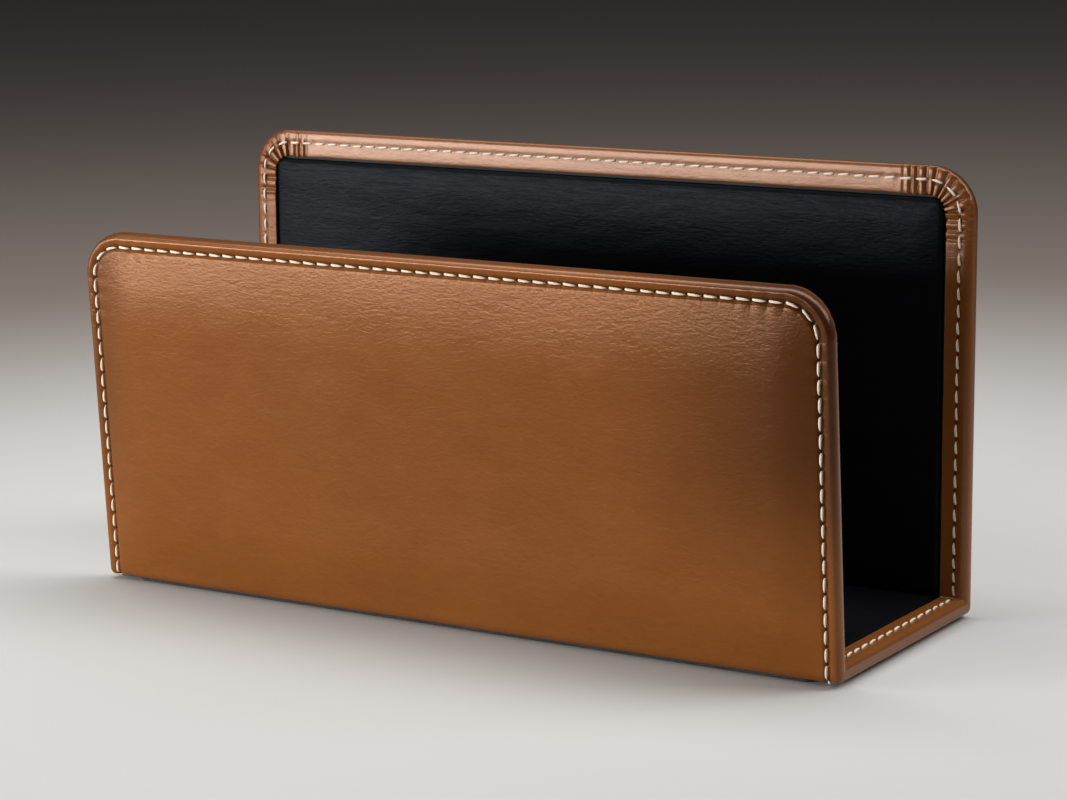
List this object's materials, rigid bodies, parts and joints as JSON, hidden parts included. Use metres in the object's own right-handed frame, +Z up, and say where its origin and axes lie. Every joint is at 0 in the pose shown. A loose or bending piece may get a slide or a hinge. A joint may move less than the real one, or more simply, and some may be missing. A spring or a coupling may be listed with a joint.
{
  "type": "letter holder",
  "caption": "U-shaped desk letter holder with a low front wall and a taller rear wall, padded and wrapped in stitched tan leather, with a black leather lining inside.",
  "frame": {"origin": "centre of the foot on the desk, midway between the two walls at their foot", "axes": "+X along the walls, -Y out of the low front wall, +Z up"},
  "size_m": [0.24, 0.0892, 0.123],
  "materials": {
    "tan_leather": "smooth, softly polished cognac leather",
    "lining_leather": "soft blue-black leather with fine creases",
    "thread": "thick waxed cream thread",
    "sheet_steel": "bent sheet steel under a thin black primer",
    "padding": "soft padding sheet",
    "cord": "twisted cord filler",
    "card": "plain grey card",
    "felt": "dense dark felt"
  },
  "bodies": {
    "root": {"outer_cover": "tan_leather", "steel_core": "sheet_steel", "padding_sheet": "padding", "edge_cord": "cord", "front_lining": "lining_leather", "base_lining": "lining_leather", "rear_lining": "lining_leather", "front_lining_card": "card", "base_lining_card": "card", "rear_lining_card": "card", "outer_stitches": "thread", "inner_stitches": "thread", "base_felt": "felt"}
  },
  "joints": []
}
